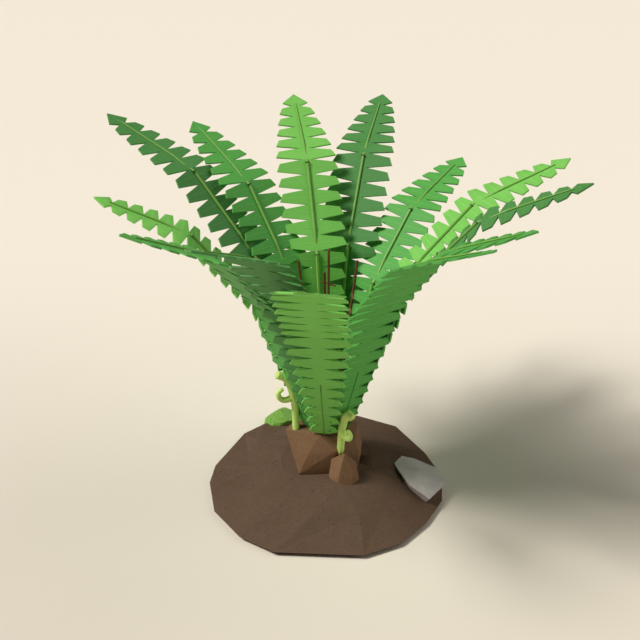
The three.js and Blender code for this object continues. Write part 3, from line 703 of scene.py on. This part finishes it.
def make_fronds():
    midrib = model_midrib()
    joint = model_joint()
    # The joint wears the dark olive of painted shade
    joint.data.materials.append(RACHIS_JOINT_PAINTED_SHADE)
    for frond in FRONDS:
        node = f"{frond}_blade"
        blade = merged_copy(node, f"{frond}_leaflets", LEAF_TISSUE[SLOT_OF[node]])
        frames = stretch_frames(blade)
        close_slot(blade, frames)
        lengthen_leaflets(blade, frames, HELD_BACK.get(frond, 0))
        make_blade(frond, frames, blade, midrib)
        make_rachis(frond, frames, joint)
    bpy.data.objects.remove(midrib)
    bpy.data.objects.remove(joint)


make_fronds()


# Croziers and fertile fronds: the skin of a crozier lies a little outside its solid, most at the top
CROZIER_SWELL, CROZIER_TOP_SWELL, CROZIER_TOP_POWER = 1.6 * MM, 2 * MM, 4
HAIRS, HAIR_SEED, HAIRS_ABOVE = 420, 31, 0.2


def rounded_copy(node, name, material, voxel, rounds):
    """A copy of a CAD node with its edges melted round, as on a soft young stem."""
    piece = merged_copy(node, name, material)
    apply_modifier(piece, "REMESH", mode="VOXEL", voxel_size=voxel)
    apply_modifier(piece, "SMOOTH", factor=0.5, iterations=rounds)
    select_only(piece)
    bpy.ops.object.shade_smooth()
    return piece


def model_spike(sides, radius, length, bow):
    """A hair or a moss shoot: a thin cone that leans over at its end."""
    bpy.ops.mesh.primitive_cone_add(vertices=sides, radius1=radius, radius2=radius * 0.6,
                                    depth=length * 0.5, location=(0, 0, length * 0.2))
    spike = bpy.context.object
    bpy.ops.object.transform_apply(location=True)
    edit_points(spike, lambda place: place.z > length * 0.3)
    bpy.ops.mesh.extrude_region_move(TRANSFORM_OT_translate={"value": (bow, 0, length * 0.5)})
    bpy.ops.mesh.merge(type="CENTER")
    leave_edit()
    return spike


def swell(piece, depth, more):
    """Moves the skin outwards by a depth, and by some more towards the top of the piece."""
    normals = [point.normal.copy() for point in piece.data.vertices]
    low = min(point.co.z for point in piece.data.vertices)
    high = max(point.co.z for point in piece.data.vertices)
    for point, normal in zip(piece.data.vertices, normals):
        share = (point.co.z - low) / (high - low)
        point.co += normal * (depth + more * share ** CROZIER_TOP_POWER)


def make_croziers():
    hair = model_spike(3, 0.22 * MM, 3.4 * MM, 0.8 * MM)
    hair.data.materials.append(CROZIER_DOWN)
    for number, node in enumerate(CROZIERS):
        stem = rounded_copy(node, f"{node}_stem", CROZIER_SKIN, 1.8 * MM, 8)
        swell(stem, CROZIER_SWELL, CROZIER_TOP_SWELL)
        scatter(stem, hair, HAIRS, HAIR_SEED + number, lambda place, normal: place.z > HAIRS_ABOVE,
                (0.6, 1.1), 0.5)
        stand_for(stem, node)
    bpy.data.objects.remove(hair)


def make_fertile_fronds():
    for node in FERTILE_FRONDS:
        stand_for(rounded_copy(node, f"{node}_stalk", FERTILE_SKIN, 1.3 * MM, 4), node)


make_croziers()
make_fertile_fronds()


# Crown, soil, stone and moss: how many crumbs and shoots, and the seed of each
CRUMBS, CRUMB_SEED = 1100, 17
SHOOTS, SHOOT_SEED = 1500, 53


def make_lump(node, material, rounding, longest, grain, height, stays=nowhere):
    """A lump of the ground with its facets kept, their edges worn and their faces a little rough."""
    piece = merged_copy(node, f"{node}_body", material)
    if rounding:
        apply_modifier(piece, "BEVEL", width=rounding, segments=2, angle_limit=math.radians(12))
    refine(piece, longest)
    roughen(piece, grain, height, stays)
    smooth(piece, 12)
    return piece


def model_crumb():
    """A crumb of soil: a small uneven clod, flatter than it is wide."""
    bpy.ops.mesh.primitive_ico_sphere_add(subdivisions=1, radius=2.2 * MM)
    crumb = bpy.context.object
    edit_points(crumb, lambda place: place.x > 0)
    bpy.ops.transform.resize(value=(1.3, 0.8, 0.7), center_override=(0, 0, 0))
    leave_edit()
    edit_points(crumb, lambda place: place.y > 0 and place.z > 0)
    bpy.ops.transform.translate(value=(0.3 * MM, 0.5 * MM, -0.4 * MM))
    leave_edit()
    return crumb


def make_soil():
    soil = merged_copy("soil_mound", "soil_mound_body", SOIL)
    to_triangles(soil)
    crumb = model_crumb()
    crumb.data.materials.append(SOIL)
    scatter(soil, crumb, CRUMBS, CRUMB_SEED,
            lambda place, normal: normal.z > 0.6 and place.z > 16 * MM, (0.35, 1.0), 0.5)
    bpy.data.objects.remove(crumb)
    stand_for(soil, "soil_mound")


def make_ground():
    for node in ("crown", "side_crown"):
        stand_for(make_lump(node, CROWN_BARK, 0, 9 * MM, 9 * MM, 0.5 * MM), node)
    make_soil()
    stand_for(make_lump("stone", STONE, 2.5 * MM, 7 * MM, 16 * MM, 0.4 * MM), "stone")
    cushion = make_lump("moss_cushion", MOSS, 0, 8 * MM, 12 * MM, 0.6 * MM,
                        lambda place: place.z < 3 * MM)
    shoot = model_spike(4, 0.8 * MM, 3 * MM, 0.6 * MM)
    shoot.data.materials.append(MOSS_SHOOT)
    scatter(cushion, shoot, SHOOTS, SHOOT_SEED,
            lambda place, normal: normal.z > -0.2 and place.z > 8 * MM, (0.6, 1.15), 0.4)
    bpy.data.objects.remove(shoot)
    stand_for(cushion, "moss_cushion")


make_ground()


# Floor, light and camera

def aim(thing, target):
    thing.rotation_euler = (target - thing.location).to_track_quat("-Z", "Y").to_euler()


def sun(name, direction, strength, width, colour):
    bpy.ops.object.light_add(type="SUN")
    lamp = bpy.context.object
    lamp.name = name
    azimuth, height = (math.radians(angle) for angle in direction)
    lamp.location = SUN_DISTANCE * Vector((math.cos(height) * math.cos(azimuth),
                                           math.cos(height) * math.sin(azimuth),
                                           math.sin(height)))
    aim(lamp, Vector((0, 0, 0)))
    lamp.data.energy = strength
    lamp.data.angle = math.radians(width)
    lamp.data.color = linear(colour)[:3]


# Floor: a plain matt board with a hardly visible grain and a painted fall-off of light, paler towards
# the back and darker towards the front, from one depth to another
FLOOR_FALLOFF_DEPTHS = (-1.3, 2.2)
FLOOR_SIZE = 60
SUN_DISTANCE = 4


def floor_with_painted_falloff(name, pale, other):
    material, tree, shader = new_material(name, 0.1)
    grain = object_noise(tree, 3)
    place = add_node(tree, "ShaderNodeTexCoord").outputs["Object"]
    depth = add_node(tree, "ShaderNodeSeparateXYZ", inputs=((0, place),)).outputs[1]
    # Painted light: a fall-off of light painted into the colour, darker towards the front
    front = remap(tree, depth, *FLOOR_FALLOFF_DEPTHS, 1.0, 0.0)
    front.node.interpolation_type = "SMOOTHSTEP"
    colour = shift_colour(tree, linear(pale), front, other)
    finish_shader(tree, shader, colour, remap(tree, grain, 0.3, 0.7, 0.88, 0.92), grain, 0.02 * MM)
    return material


def make_stage():
    bpy.ops.mesh.primitive_plane_add(size=FLOOR_SIZE)
    floor = bpy.context.object
    floor.name = "floor"
    floor.data.materials.append(floor_with_painted_falloff("pale_floor", "#f5eddf", "#e2d9cb"))
    sun("key", *KEY)
    sun("back_fill", *BACK_FILL)
    sun("side_fill", *SIDE_FILL)
    world = bpy.data.worlds.new("studio")
    world.use_nodes = True
    bpy.context.scene.world = world
    background = world.node_tree.nodes["Background"]
    background.inputs["Color"].default_value = linear("#fffaf0")
    background.inputs["Strength"].default_value = AMBIENT_STRENGTH
    bpy.ops.object.camera_add(location=CAMERA_PLACE)
    camera = bpy.context.object
    aim(camera, CAMERA_TARGET)
    camera.data.sensor_width = SENSOR_WIDTH
    camera.data.lens = LENS
    bpy.context.scene.camera = camera
    bpy.context.scene.view_settings.view_transform = "Standard"


make_stage()
